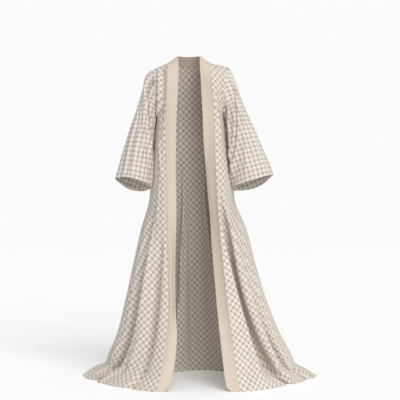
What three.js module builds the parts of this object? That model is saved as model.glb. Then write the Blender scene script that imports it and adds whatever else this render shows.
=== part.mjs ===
// A floor-length open kaftan, kept in the hollow form that it has when worn.
// Millimetres, +Z up, the front towards -Y. The origin is the middle of the neck, on the line of the shoulders.
// "Right" and "left" are the wearer's, so right is -X. Drops are measured down from the origin.
import * as THREE from 'three';

const CLOTH = 1.6; // wall of the body and sleeves
const BAND_CLOTH = 3; // wall of the doubled band
const SEAM_GAP = 0.3; // between two pieces at a seam
const RIM_PULL = 5; // the most that an edge draws back where two pieces meet at a sharp angle

const UNDERARM = 4; // number of the row in BODY that lies at the underarm
const NECK_SHARE = 0.5; // share of each half of the back's top edge that is neckline
const NECK_LENGTH = 120; // of each band, round its half of the back neck
const NECK_RISE = 22; // degrees by which the band stands steeper behind the neck than on the shoulder
const ARMHOLE_DEPTH = { front: 85, back: 83 }; // how far the armhole bows forward and back

const BAND_WIDTH = 58;
const BAND_CORNER = 14; // how far the band's inner corner is rounded off above the floor
const CORNER_LENGTH = 32;
const COLUMNS = { front: 14, back: 24, neck: 6, sleeve: 24 };
const BAND_COLUMNS = [0, 0.7, 1];
const ARMHOLE_STEPS = 3; // rows of the mesh for each row of BODY above the underarm
const SKIRT_STEP = 105; // longest step of the mesh down the skirt
const SLEEVE_STEP = 62; // longest step of the mesh down a sleeve

// Turns lines of numbers into rows with named columns.
const table = (names, ...lines) => lines.map((line) => Object.fromEntries(names.map((name, i) => [name, line[i]])));

// The body from the shoulder seam (first row) to the hem (last row).
// front: the seam of the band, back: the centre back, wrap: degrees that a row turns before its side edge,
// point: 1 is an ellipse in plan and 2 a straight line from the band to the side.
const BODY = table(
  ['frontDrop', 'frontY', 'backDrop', 'backY', 'backX', 'wrap', 'point'],
  [30, 5, 40, 95, 0, 40, 1],
  [50, -62, 72, 104, 0, 50, 1],
  [112, -106, 140, 113, 0, 55, 1],
  [205, -124, 220, 116, 2, 65, 1],
  [312, -128, 316, 112, 4, 90, 1.15],
  [450, -130, 450, 104, 6, 90, 1.6],
  [600, -138, 600, 118, 10, 90, 1.3],
  [720, -146, 720, 134, 14, 90, 1.25],
  [850, -154, 850, 150, 18, 90, 1.2],
  [1050, -174, 1050, 180, 25, 90, 1.3],
  [1250, -202, 1250, 214, 32, 90, 1.4],
  [1410, -232, 1410, 246, 38, 90, 1.5],
  [1500, -254, 1500, 266, 42, 90, 1.55],
  [1556, -269, 1556, 278, 45, 90, 1.57],
  [1592, -279, 1592, 287, 47, 90, 1.5],
  [1619, -286, 1619, 294, 50, 90, 1.47],
);

// Each side, in the rows of BODY. seamX: seam of the band, sideX and sideY: side seam below the underarm,
// lift: how much higher the side seam is than the band in that row, turn and rise: the degrees by which the band
// turns inwards and slopes up to the neck.
const SIDE_COLUMNS = ['seamX', 'sideX', 'sideY', 'lift', 'turn', 'rise'];
const RIGHT = {
  name: 'right',
  out: -1,
  shoulder: [-189, 8, -68],
  underarm: [-158, 5, -312],
  chestIn: 14,
  rows: table(
    SIDE_COLUMNS,
    [-103, 0, 0, 0, 0, 36],
    [-104, 0, 0, 0, 4, 26],
    [-105, 0, 0, 0, 14, 14],
    [-107, 0, 0, 0, 26, 6],
    [-111, -158, 5, 0, 30, 0],
    [-113, -178, 62, 0, 31, 0],
    [-112, -179, 52, 0, 34, 0],
    [-110, -199, 42, 0, 34, 0],
    [-107, -238, 38, 0, 36, 0],
    [-101, -284, 56, 0, 44, 0],
    [-97, -330, 80, 0, 47, 0],
    [-107, -373, 104, 0, 32, 0],
    [-119, -413, 124, 0, 25, 0],
    [-132, -440, 138, 4, 20, 0],
    [-142, -494, 148, 16, 12, 0],
    [-152, -552, 162, 0, 2, 0],
  ),
};
const LEFT = {
  name: 'left',
  out: 1,
  shoulder: [197, 8, -52],
  underarm: [172, 5, -312],
  chestIn: 12,
  rows: table(
    SIDE_COLUMNS,
    [103, 0, 0, 0, 0, 36],
    [106, 0, 0, 0, 6, 26],
    [110, 0, 0, 0, 20, 14],
    [118, 0, 0, 0, 16, 6],
    [126, 172, 5, 0, 10, 0],
    [128, 195, 62, 0, 22, 0],
    [134, 197, 54, 0, 34, 0],
    [141, 230, 48, 0, 39, 0],
    [150, 284, 46, 0, 41, 0],
    [170, 338, 50, 0, 35, 0],
    [192, 402, 68, 0, 25, 0],
    [213, 470, 86, 0, 10, 0],
    [224, 520, 102, 0, 4, 0],
    [231, 547, 114, 4, 2, 0],
    [237, 596, 128, 12, 3, 0],
    [243, 655, 152, 0, 4, 0],
  ),
};

// The sleeves, below their armholes. outer and inner: the two ends of the flattened tube, front and back: how far
// it bows, lift and dip: how much its front is raised and its back lowered from the line between the two ends,
// point: as in BODY, at the outer end.
const SLEEVE_COLUMNS = ['outerX', 'outerDrop', 'innerX', 'innerDrop', 'middleY', 'front', 'back', 'lift', 'dip', 'point'];
const SLEEVES = {
  right: table(
    SLEEVE_COLUMNS,
    [-211, 88, -172, 328, 8, 82, 82, 0, 0, 1.02],
    [-232, 160, -168, 358, -2, 78, 80, 0, 0, 1.08],
    [-260, 262, -164, 422, -26, 75, 76, 0, 0, 1.15],
    [-295, 368, -163, 492, -42, 72, 73, 0, 2, 1.2],
    [-326, 472, -168, 562, -46, 70, 71, 4, 10, 1.25],
    [-350, 555, -175, 618, -46, 70, 70, 12, 24, 1.36],
    [-367, 608, -183, 652, -46, 71, 69, 21, 40, 1.45],
  ),
  left: table(
    SLEEVE_COLUMNS,
    [219, 90, 186, 330, 8, 82, 82, 0, 0, 1.02],
    [245, 162, 183, 360, -2, 78, 80, 0, 0, 1.08],
    [280, 260, 181, 424, -26, 75, 76, 0, 0, 1.15],
    [324, 362, 182, 494, -42, 72, 73, 0, 2, 1.2],
    [369, 468, 188, 562, -52, 70, 71, 0, 10, 1.25],
    [401, 540, 197, 614, -58, 70, 70, 2, 24, 1.4],
    [418, 587, 208, 650, -62, 71, 69, 4, 42, 1.5],
  ),
};

// The largest folds. at: 0 is the band or the centre back and 1 the side seam (-1 the right one on the back), or
// the turn round a sleeve, from: the length down the piece where it begins, bend: over 1 where it sweeps out late,
// half: its half width in the same share, depth: negative for a trough and positive for a ridge.
const FOLD_COLUMNS = ['from', 'atTop', 'atHem', 'bend', 'half', 'depth'];
const FOLDS = {
  front_right: table(
    FOLD_COLUMNS,
    [640, 0.51, 0.75, 3, 0.14, -50],
    [720, 0.66, 0.84, 1.8, 0.13, 30],
    [860, 0.15, 0.25, 1, 0.12, -24],
    [820, 0.35, 0.47, 2, 0.11, 22],
  ),
  front_left: table(
    FOLD_COLUMNS,
    [540, 0.06, 0.47, 0.95, 0.15, -46],
    [620, 0.19, 0.6, 0.95, 0.12, 28],
    [960, 0.52, 0.8, 0.8, 0.12, -28],
    [900, 0.08, 0.28, 1.2, 0.12, 18],
  ),
  back: table(
    FOLD_COLUMNS,
    [560, -0.74, -0.8, 1, 0.12, -40],
    [420, -0.42, -0.48, 1, 0.14, -52],
    [500, -0.58, -0.64, 1, 0.12, 26],
    [380, -0.11, -0.15, 1, 0.13, -46],
    [560, -0.26, -0.31, 1, 0.11, 26],
    [430, 0.2, 0.2, 1, 0.13, -54],
    [600, 0.05, 0.03, 1, 0.11, 24],
    [540, 0.36, 0.37, 1, 0.11, 28],
    [480, 0.52, 0.55, 1, 0.14, -50],
    [700, 0.78, 0.8, 1, 0.12, -38],
  ),
  sleeve_right: table(
    FOLD_COLUMNS,
    [60, 0.29, 0.44, 0.7, 0.09, -18],
    [160, 0.12, 0.2, 0.6, 0.09, -12],
    [60, 0.66, 0.68, 1, 0.1, -16],
    [240, 0.82, 0.8, 1, 0.09, -10],
  ),
  sleeve_left: table(
    FOLD_COLUMNS,
    [50, 0.12, 0.4, 0.7, 0.09, -18],
    [180, 0.07, 0.12, 1, 0.08, -10],
    [80, 0.64, 0.62, 1, 0.1, -15],
    [220, 0.8, 0.83, 1, 0.09, -12],
  ),
};
const HEM_FADE = { front: 0.85, back: 0.35, sleeve: 0 }; // share of the depth that is gone at the hem
const FADE_LENGTH = 150; // over which it goes

const vector = (point) => new THREE.Vector3(...point);
const radians = THREE.MathUtils.degToRad;
const smoothstep = THREE.MathUtils.smoothstep;

// A smooth curve through points at uneven knots: its place at knot value `at`.
function curveAt(points, knots, at, startSlope = null) {
  let k = 0;
  while (k < knots.length - 2 && at > knots[k + 1]) k += 1;
  const span = knots[k + 1] - knots[k];
  const f = (at - knots[k]) / span;
  const from = slopeAt(points, knots, k, startSlope).multiplyScalar(span);
  const to = slopeAt(points, knots, k + 1, startSlope).multiplyScalar(span);
  return new THREE.Vector3()
    .addScaledVector(points[k], (1 + 2 * f) * (1 - f) ** 2)
    .addScaledVector(from, f * (1 - f) ** 2)
    .addScaledVector(points[k + 1], f * f * (3 - 2 * f))
    .addScaledVector(to, f * f * (f - 1));
}

function slopeAt(points, knots, k, startSlope) {
  const last = knots.length - 1;
  const chord = (i) => points[i + 1].clone().sub(points[i]).divideScalar(knots[i + 1] - knots[i]);
  if (k === 0) return startSlope ? startSlope.clone() : chord(0);
  if (knots === BODY_KNOTS && k === UNDERARM) return chord(k).multiplyScalar(0.5);
  if (k === last) return chord(last - 1);
  const before = knots[k] - knots[k - 1];
  const after = knots[k + 1] - knots[k];
  return chord(k).multiplyScalar(before).addScaledVector(chord(k - 1), after).divideScalar(before + after);
}

// Running length along a list of points, as knots.
function lengths(points) {
  const knots = [0];
  for (let i = 1; i < points.length; i += 1) knots.push(knots[i - 1] + points[i].distanceTo(points[i - 1]));
  return knots;
}

const BODY_KNOTS = lengths(BODY.map((row) => vector([0, row.frontY, -row.frontDrop])));
const BODY_LENGTH = BODY_KNOTS.at(-1);

// Length down the body at a row number, which may lie between two rows.
function knotAt(row) {
  const k = Math.min(Math.floor(row), BODY_KNOTS.length - 2);
  return BODY_KNOTS[k] + (row - k) * (BODY_KNOTS[k + 1] - BODY_KNOTS[k]);
}

// One row of a panel, from its middle point to its side edge, at share s.
function rowPoint(middle, edge, s, wrap, point) {
  const power = 2 / point;
  const full = radians(wrap);
  const reach = (angle) => (Math.sin(angle) ** power + Math.cos(angle) ** power) ** (-1 / power);
  const across = (reach(full * s) * Math.sin(full * s)) / (reach(full) * Math.sin(full));
  const ending = reach(full) * Math.cos(full);
  const along = (reach(full * s) * Math.cos(full * s) - ending) / (1 - ending);
  return new THREE.Vector3(
    middle.x + (edge.x - middle.x) * across,
    edge.y + (middle.y - edge.y) * along,
    middle.z + (edge.z - middle.z) * across,
  );
}

// The armhole, from the shoulder (0) to the underarm (1), round its front or its back.
function armhole(side, face, share) {
  const top = vector(side.shoulder);
  const bottom = vector(side.underarm);
  const angle = Math.PI * share;
  const inward = face === 'front' ? side.chestIn : side.chestIn / 3;
  const forward = face === 'front' ? -ARMHOLE_DEPTH.front : ARMHOLE_DEPTH.back;
  const point = top.clone().add(bottom).multiplyScalar(0.5);
  point.addScaledVector(top.sub(bottom), Math.cos(angle) / 2);
  return point.add(vector([-side.out * inward, forward, 0]).multiplyScalar(Math.sin(angle)));
}

function sideEdge(side, face, k) {
  if (k < UNDERARM) return armhole(side, face, k / UNDERARM);
  const row = side.rows[k];
  return vector([row.sideX, row.sideY, row.lift - BODY[k].frontDrop]);
}

const bandSeam = (side, k) => vector([side.rows[k].seamX, BODY[k].frontY, -BODY[k].frontDrop]);

// Sum of the folds of a piece at share s and length `at` of its whole length.
function foldDepth(folds, fade, s, at, whole, ring) {
  let depth = 0;
  for (const fold of folds) {
    const grown = THREE.MathUtils.clamp((at - fold.from) / (whole - fold.from), 0, 1);
    const centre = fold.atTop + (fold.atHem - fold.atTop) * grown ** fold.bend;
    const apart = Math.abs(s - centre);
    const offset = (ring ? Math.min(apart, 1 - apart) : apart) / fold.half;
    const growth = smoothstep(grown, 0, 0.6) * (0.5 + 0.5 * grown);
    if (offset < 1) depth += fold.depth * growth * Math.cos((Math.PI / 2) * offset) ** 2;
  }
  return depth * (1 - fade * smoothstep(at, whole - FADE_LENGTH, whole));
}

// A body panel with its folds, which move it sideways and die out towards its sewn edges. least: the lowest share
// of the panel, facing: 1 where the cross product of its two directions points out of the garment, otherwise -1.
function foldedPanel(plain, folds, fade, least, facing) {
  return (s, at) => {
    const depth = foldDepth(folds, fade, s, at, BODY_LENGTH, false);
    const point = plain(s, at);
    if (depth === 0) return point;
    const normal = normalOf(plain, s, at, least, 1);
    normal.z = 0;
    const sewn = smoothstep(1 - Math.abs(s), 0, 0.07) * (least < 0 ? 1 : smoothstep(s, 0, 0.06));
    return point.addScaledVector(normal.normalize(), depth * sewn * facing);
  };
}

// Unit normal of a surface given as a function of a share and a length, by small steps inside its range.
function normalOf(surface, s, at, least, most) {
  const step = 0.004;
  const stride = 1;
  const low = Math.max(least, s - step);
  const high = Math.min(most, s + step);
  const up = Math.max(0, at - stride);
  const alongS = surface(high, at).sub(surface(low, at));
  const alongAt = surface(s, up + 2 * stride).sub(surface(s, up));
  return alongS.cross(alongAt).normalize();
}

const FRONTWARD = new THREE.Vector3(0, -1, 0);
const BACKWARD = new THREE.Vector3(0, 1, 0);

function shoulderSeam(side, share) {
  return bandSeam(side, 0).lerp(vector(side.shoulder), share);
}

function frontPlain(side) {
  return (s, at) => {
    const rows = BODY.map((row, k) => {
      if (k === 0) return shoulderSeam(side, s);
      return rowPoint(bandSeam(side, k), sideEdge(side, 'front', k), s, row.wrap, row.point);
    });
    return curveAt(rows, BODY_KNOTS, at, FRONTWARD);
  };
}

// The top edge of the back: half the neckline from the centre, then the shoulder seam.
function backTop(side, share) {
  if (share > NECK_SHARE) return shoulderSeam(side, (share - NECK_SHARE) / (1 - NECK_SHARE));
  const angle = (Math.PI / 2) * (1 - share / NECK_SHARE);
  const seam = bandSeam(side, 0);
  const [row] = BODY;
  return new THREE.Vector3(
    seam.x * Math.cos(angle),
    seam.y + (row.backY - seam.y) * Math.sin(angle),
    -row.frontDrop - (row.backDrop - row.frontDrop) * Math.sin(angle),
  );
}

// u runs from -1 at the right side seam over 0 at the centre back to 1 at the left side seam.
function backPlain(u, at) {
  const side = u < 0 ? RIGHT : LEFT;
  const share = Math.abs(u);
  const rows = BODY.map((row, k) => {
    if (k === 0) return backTop(side, share);
    const middle = vector([row.backX, row.backY, -row.backDrop]);
    return rowPoint(middle, sideEdge(side, 'back', k), share, row.wrap, 1);
  });
  const neckSlope = rows[1].clone().sub(rows[0]).divideScalar(BODY_KNOTS[1]);
  const slope = neckSlope.lerp(BACKWARD, smoothstep(share, NECK_SHARE * 0.6, NECK_SHARE));
  return curveAt(rows, BODY_KNOTS, at, slope);
}

const panels = {
  front_right: foldedPanel(frontPlain(RIGHT), FOLDS.front_right, HEM_FADE.front, 0, 1),
  front_left: foldedPanel(frontPlain(LEFT), FOLDS.front_left, HEM_FADE.front, 0, -1),
  back: foldedPanel(backPlain, FOLDS.back, HEM_FADE.back, -1, 1),
};

// A sleeve. a runs once round it: 0 at the top, 0.25 in front, 0.5 at the underarm and 0.75 behind.
const sleeveKnots = (side) => {
  const outer = SLEEVES[side.name].map((ring) => vector([ring.outerX, 0, -ring.outerDrop]));
  return lengths([vector([side.shoulder[0], 0, side.shoulder[2]]), ...outer]);
};

function sleeveRing(ring, a) {
  const angle = 2 * Math.PI * a;
  const outerness = (1 + Math.cos(angle)) / 2;
  const power = 2 / (1 + (ring.point - 1) * outerness);
  const reach = (Math.abs(Math.cos(angle)) ** power + Math.abs(Math.sin(angle)) ** power) ** (-1 / power);
  const along = (reach * Math.cos(angle)) / 2;
  const bow = reach * Math.sin(angle);
  const depth = bow > 0 ? ring.front : ring.back;
  const raised = bow * (bow > 0 ? ring.lift : ring.dip);
  return new THREE.Vector3(
    (ring.outerX + ring.innerX) / 2 + along * (ring.outerX - ring.innerX),
    ring.middleY - bow * depth,
    -(ring.outerDrop + ring.innerDrop) / 2 - along * (ring.outerDrop - ring.innerDrop) + raised,
  );
}

function sleeveSurface(side) {
  const knots = sleeveKnots(side);
  const front = frontPlain(side);
  return (a, at) => {
    const turn = ((a % 1) + 1) % 1;
    const down = knotAt(UNDERARM * (1 - Math.abs(1 - 2 * turn)));
    const start = turn <= 0.5 ? front(1, down) : backPlain(side.out, down);
    return curveAt([start, ...SLEEVES[side.name].map((ring) => sleeveRing(ring, turn))], knots, at);
  };
}

// A sleeve with its folds, which move it square to its cloth.
function foldedSleeve(side) {
  const tube = sleeveSurface(side);
  const whole = sleeveKnots(side).at(-1);
  return (a, at) => {
    const depth = foldDepth(FOLDS[`sleeve_${side.name}`], HEM_FADE.sleeve, a, at, whole, true);
    const point = tube(a, at);
    if (depth === 0) return point;
    return point.addScaledVector(normalOf(tube, a, at, -1, 2), -side.out * depth);
  };
}

// The band. across is 0 at its seam and 1 at its edge; at is negative round the back neck, down to -NECK_LENGTH.
function bandSurface(side) {
  const front = frontPlain(side);
  const settings = side.rows.map((row) => vector([row.turn, row.rise, 0]));
  return (across, at) => {
    const neck = Math.max(0, -at / NECK_LENGTH);
    const seam = neck > 0 ? backTop(side, NECK_SHARE * (1 - neck)) : front(0, at);
    const set = curveAt(settings, BODY_KNOTS, Math.max(0, at));
    const turn = radians(set.x - 90 * neck);
    const rise = radians(set.y + NECK_RISE * Math.sin((Math.PI / 2) * neck));
    const out = BAND_WIDTH * across;
    const level = Math.cos(rise) * out;
    const corner = smoothstep(across, 0.6, 1) * smoothstep(at, BODY_LENGTH - CORNER_LENGTH, BODY_LENGTH);
    const up = Math.sin(rise) * out + BAND_CORNER * corner;
    return seam.add(vector([-side.out * Math.cos(turn) * level, Math.sin(turn) * level, up]));
  };
}

// Even steps between two values, each at most `step` long.
function stepsBetween(from, to, count) {
  return Array.from({ length: count }, (_, i) => from + ((to - from) * (i + 1)) / count);
}

const bodyRows = [0];
BODY_KNOTS.slice(1).forEach((knot, k) => {
  const count = k < UNDERARM ? ARMHOLE_STEPS : Math.ceil((knot - BODY_KNOTS[k]) / SKIRT_STEP);
  bodyRows.push(...stepsBetween(BODY_KNOTS[k], knot, count));
});
const shares = (from, to, count) => [from, ...stepsBetween(from, to, count)];

// A piece: its surface, the values of its grid, its wall, the edges that are sewn, and which way it faces.
const PIECES = [
  {
    name: 'front_right',
    surface: panels.front_right,
    columns: shares(0, 1, COLUMNS.front),
    rows: bodyRows,
    sewn: ['first column', 'last column', 'first row'],
  },
  {
    name: 'front_left',
    surface: panels.front_left,
    columns: shares(0, 1, COLUMNS.front),
    rows: bodyRows,
    sewn: ['first column', 'last column', 'first row'],
    flip: true,
  },
  {
    name: 'back',
    surface: panels.back,
    columns: shares(-1, 1, COLUMNS.back),
    rows: bodyRows,
    sewn: ['first column', 'last column', 'first row'],
  },
];
for (const side of [RIGHT, LEFT]) {
  const length = sleeveKnots(side).at(-1);
  PIECES.push({
    name: `sleeve_${side.name}`,
    surface: foldedSleeve(side),
    columns: shares(0, 1, COLUMNS.sleeve),
    rows: shares(0, length, Math.ceil(length / SLEEVE_STEP)),
    sewn: ['first row'],
    ring: true,
    flip: side === RIGHT,
  });
  PIECES.push({
    name: `band_${side.name}`,
    surface: bandSurface(side),
    columns: BAND_COLUMNS,
    rows: [...shares(-NECK_LENGTH, 0, COLUMNS.neck), ...bodyRows.slice(1)],
    sewn: ['first column', 'first row'],
    wall: BAND_CLOTH,
    flip: side === RIGHT,
  });
}

const keyOf = (point) => point.toArray().map((value) => value.toFixed(1)).join(' ');

// Middle points and outward normals of a piece, row by row.
function gridOf(piece) {
  const { surface, columns, rows, ring } = piece;
  const least = ring ? -1 : columns[0];
  const most = ring ? 2 : columns.at(-1);
  const points = rows.map((at) => columns.map((s) => surface(s, at)));
  const normals = rows.map((at) => columns.map((s) => {
    const high = Math.min(most, s + 0.004);
    const low = Math.max(least, s - 0.004);
    const below = Math.min(rows.at(-1), at + 1);
    const above = Math.max(rows[0], at - 1);
    const sideways = surface(high, at).sub(surface(low, at));
    const downward = surface(s, below).sub(surface(s, above));
    return sideways.cross(downward).normalize().multiplyScalar(piece.flip ? -1 : 1);
  }));
  return { points, normals };
}

const grids = new Map(PIECES.map((piece) => [piece.name, gridOf(piece)]));
const meetings = new Map();
for (const piece of PIECES) {
  const { points, normals } = grids.get(piece.name);
  points.forEach((line, r) => line.forEach((point, c) => {
    const key = keyOf(point);
    if (!meetings.has(key)) meetings.set(key, []);
    meetings.get(key).push({ name: piece.name, normal: normals[r][c] });
  }));
}

// How far an edge draws back, so that two rims that meet at an angle stay clear of each other.
function pullOf(piece, point, normal) {
  let pull = SEAM_GAP / 2;
  for (const other of meetings.get(keyOf(point))) {
    if (other.name !== piece.name) {
      const half = normal.angleTo(other.normal) / 2;
      const corner = (wallOf(piece) / 2 + SEAM_GAP) * Math.sin(half);
      const clear = (corner + SEAM_GAP / 2) / Math.max(Math.cos(half), 0.01);
      pull = Math.max(pull, Math.min(RIM_PULL, clear));
    }
  }
  return pull;
}

const wallOf = (piece) => piece.wall ?? CLOTH;

// The step that draws a sewn edge back into its piece.
function drawnBack(piece, grid, r, c, nextR, nextC, alongR, alongC) {
  const { points, normals } = grid;
  const rowCount = points.length - 1;
  const columnCount = points[0].length - 1;
  const clamp = THREE.MathUtils.clamp;
  const ahead = points[clamp(r + alongR, 0, rowCount)][clamp(c + alongC, 0, columnCount)];
  const behind = points[clamp(r - alongR, 0, rowCount)][clamp(c - alongC, 0, columnCount)];
  const inward = normals[r][c].clone().cross(ahead.clone().sub(behind)).normalize();
  if (inward.dot(points[nextR][nextC].clone().sub(points[r][c])) < 0) inward.negate();
  return inward.multiplyScalar(pullOf(piece, points[r][c], normals[r][c]));
}

function middleAt(piece, grid, r, c) {
  const { points } = grid;
  const lastC = points[0].length - 1;
  const point = points[r][c].clone();
  if (c === 0 && piece.sewn.includes('first column')) point.add(drawnBack(piece, grid, r, c, r, 1, 1, 0));
  if (c === lastC && piece.sewn.includes('last column')) point.add(drawnBack(piece, grid, r, c, r, c - 1, 1, 0));
  if (r === 0 && piece.sewn.includes('first row')) point.add(drawnBack(piece, grid, r, c, 1, c, 0, 1));
  return point;
}

// A closed wall round the middle points of a piece.
function wallGeometry(piece) {
  const grid = grids.get(piece.name);
  const rowCount = grid.points.length;
  const columnCount = grid.points[0].length - (piece.ring ? 1 : 0);
  const half = wallOf(piece) / 2;
  const positions = [];
  for (const offset of [half, -half]) {
    for (let r = 0; r < rowCount; r += 1) {
      for (let c = 0; c < columnCount; c += 1) {
        const point = middleAt(piece, grid, r, c).addScaledVector(grid.normals[r][c], offset);
        positions.push(...point.toArray());
      }
    }
  }
  const layer = rowCount * columnCount;
  const outer = (r, c) => r * columnCount + (c % columnCount);
  const inner = (r, c) => layer + outer(r, c);
  const faces = [];
  const quad = (a, b, c, d) => {
    if (piece.flip) faces.push(a, c, b, a, d, c);
    else faces.push(a, b, c, a, c, d);
  };
  const lastC = piece.ring ? columnCount : columnCount - 1;
  for (let r = 0; r < rowCount - 1; r += 1) {
    for (let c = 0; c < lastC; c += 1) {
      quad(outer(r, c), outer(r, c + 1), outer(r + 1, c + 1), outer(r + 1, c));
      quad(inner(r, c), inner(r + 1, c), inner(r + 1, c + 1), inner(r, c + 1));
    }
    if (!piece.ring) {
      quad(outer(r, 0), outer(r + 1, 0), inner(r + 1, 0), inner(r, 0));
      quad(outer(r, lastC), inner(r, lastC), inner(r + 1, lastC), outer(r + 1, lastC));
    }
  }
  for (let c = 0; c < lastC; c += 1) {
    quad(outer(0, c), inner(0, c), inner(0, c + 1), outer(0, c + 1));
    quad(outer(rowCount - 1, c), outer(rowCount - 1, c + 1), inner(rowCount - 1, c + 1), inner(rowCount - 1, c));
  }
  const geometry = new THREE.BufferGeometry();
  geometry.setAttribute('position', new THREE.Float32BufferAttribute(positions, 3));
  geometry.setIndex(faces);
  geometry.computeVertexNormals();
  return geometry;
}

const CHECKED_CLOTH = { color: 0xcbc0b2, roughness: 0.85, metalness: 0 };
const PLAIN_CLOTH = { color: 0xd9ccba, roughness: 0.8, metalness: 0 };

const kaftan = new THREE.Group();
kaftan.name = 'kaftan';
for (const piece of PIECES) {
  const cloth = piece.name.startsWith('band') ? PLAIN_CLOTH : CHECKED_CLOTH;
  const mesh = new THREE.Mesh(wallGeometry(piece), new THREE.MeshStandardMaterial(cloth));
  mesh.name = piece.name;
  kaftan.add(mesh);
}

export default kaftan;
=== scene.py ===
import math
from functools import partial

import bpy
import numpy as np
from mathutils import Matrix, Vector, noise
from mathutils.bvhtree import BVHTree
from mathutils.kdtree import KDTree


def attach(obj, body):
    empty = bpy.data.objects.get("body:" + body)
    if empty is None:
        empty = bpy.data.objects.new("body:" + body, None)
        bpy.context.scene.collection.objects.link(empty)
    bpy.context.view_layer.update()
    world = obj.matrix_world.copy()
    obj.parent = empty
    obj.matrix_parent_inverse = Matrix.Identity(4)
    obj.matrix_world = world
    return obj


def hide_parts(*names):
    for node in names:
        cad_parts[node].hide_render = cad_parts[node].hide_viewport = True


# A floor-length open kaftan in checked cloth with plain front bands, in the hollow form that it has when
# worn. "Right" and "left" are the wearer's, so right is -X. Lengths are in millimetres until a piece is made
# into a mesh, and drops are measured down from the line of the shoulders.

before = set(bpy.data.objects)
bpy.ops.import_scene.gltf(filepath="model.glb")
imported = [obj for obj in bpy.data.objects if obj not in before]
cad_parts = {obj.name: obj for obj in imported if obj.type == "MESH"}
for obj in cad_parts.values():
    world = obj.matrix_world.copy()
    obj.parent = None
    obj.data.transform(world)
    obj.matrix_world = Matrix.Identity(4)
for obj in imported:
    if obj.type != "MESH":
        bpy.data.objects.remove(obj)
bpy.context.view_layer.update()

MM = 0.001
CLOTH = 1.6  # wall of the body and sleeves
BAND_CLOTH = 3.0  # wall of the doubled band
SEAM_GAP = 0.3
SEAM_REACH = 8.0  # the most that an edge draws back where two pieces meet at a sharp angle
SEAM_OVERLAP = 3.0  # the most that it goes the other way
SEAM_SEARCH = 7.0  # how far from an edge the one that it is sewn to may be
SEAM_EASE = 26.0  # over which the cloth beside a seam goes along with its edge
SLEEVE_CLEAR = 3.6  # from the middle of a sleeve's cloth to that of the body
SLEEVE_SEARCH = 20.0  # how far from the body a sleeve is looked after
HEM_DEPTH = 22.0  # of the turned hems
HEM_EXTRA = 1.3  # what the turned layer adds to the wall
HEM_STITCHES = 1.5  # from the inner edge of the hem to its row of stitches
STITCH_DENT = 0.45  # how far the stitches draw the cloth in, and how far beside them it is felt
DENT_REACH = 2.2
STITCH_LIFT = 0.12  # of the thread above the cloth
RIM_BULGE = 0.6  # of the rounded edges, as a share of half the wall
BIAS = 45.0
GROUND = -1620.0  # where the hem lies on the floor

UNDERARM = 4  # row of BODY at the underarm
NECK_SHARE = 0.5  # of half the back's top edge, the rest being its shoulder seam
NECK_LENGTH = 120.0  # of the band, from the shoulder seam to the centre back
NECK_RISE = 22.0  # degrees by which the band slopes up more at the centre back
ARMHOLE_FRONT = 85.0  # how far the armhole bows forward, and back
ARMHOLE_BACK = 83.0
BAND_WIDTH = 58.0
BAND_CORNER = 14.0  # how far the band's lower corner is rounded off, over a length
CORNER_LENGTH = 32.0


def table(names, rows):
    """Rows of numbers as named columns."""
    return dict(zip(names.split(), np.array(rows, float).T))


def tables(names, **pieces):
    """One table for each piece, all with the same columns."""
    return {piece: table(names, rows) for piece, rows in pieces.items()}


def rows_of(columns):
    """The rows of a table, each with its named values."""
    return [dict(zip(columns, row)) for row in zip(*columns.values())]


# ---- the cut -----------------------------------------------------------------

# The body from the shoulder seam to the hem: front is the seam of the band and back the centre back, wrap
# is how far a row turns before its side seam, and point is 1 for an ellipse in plan and 2 for a straight
# line.
BODY = table(
    "front_drop front_y back_drop back_y back_x wrap point",
    [
        [30, 5, 40, 95, 0, 40, 1],
        [50, -62, 72, 104, 0, 50, 1],
        [112, -106, 140, 113, 0, 55, 1],
        [205, -124, 220, 116, 2, 65, 1],
        [312, -128, 316, 112, 4, 90, 1.08],
        [450, -130, 450, 104, 6, 90, 1.05],
        [600, -138, 600, 118, 10, 90, 1.02],
        [720, -146, 720, 134, 14, 90, 1.15],
        [850, -154, 850, 150, 18, 90, 1.2],
        [1050, -174, 1050, 180, 25, 90, 1.3],
        [1250, -202, 1250, 214, 32, 90, 1.4],
        [1410, -232, 1410, 246, 38, 90, 1.5],
        [1500, -254, 1500, 266, 42, 90, 1.55],
        [1556, -269, 1556, 278, 45, 90, 1.57],
        [1592, -279, 1592, 287, 47, 90, 1.5],
        [1619, -286, 1619, 294, 50, 90, 1.47],
    ],
)
ROWS = len(BODY["wrap"])

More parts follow.
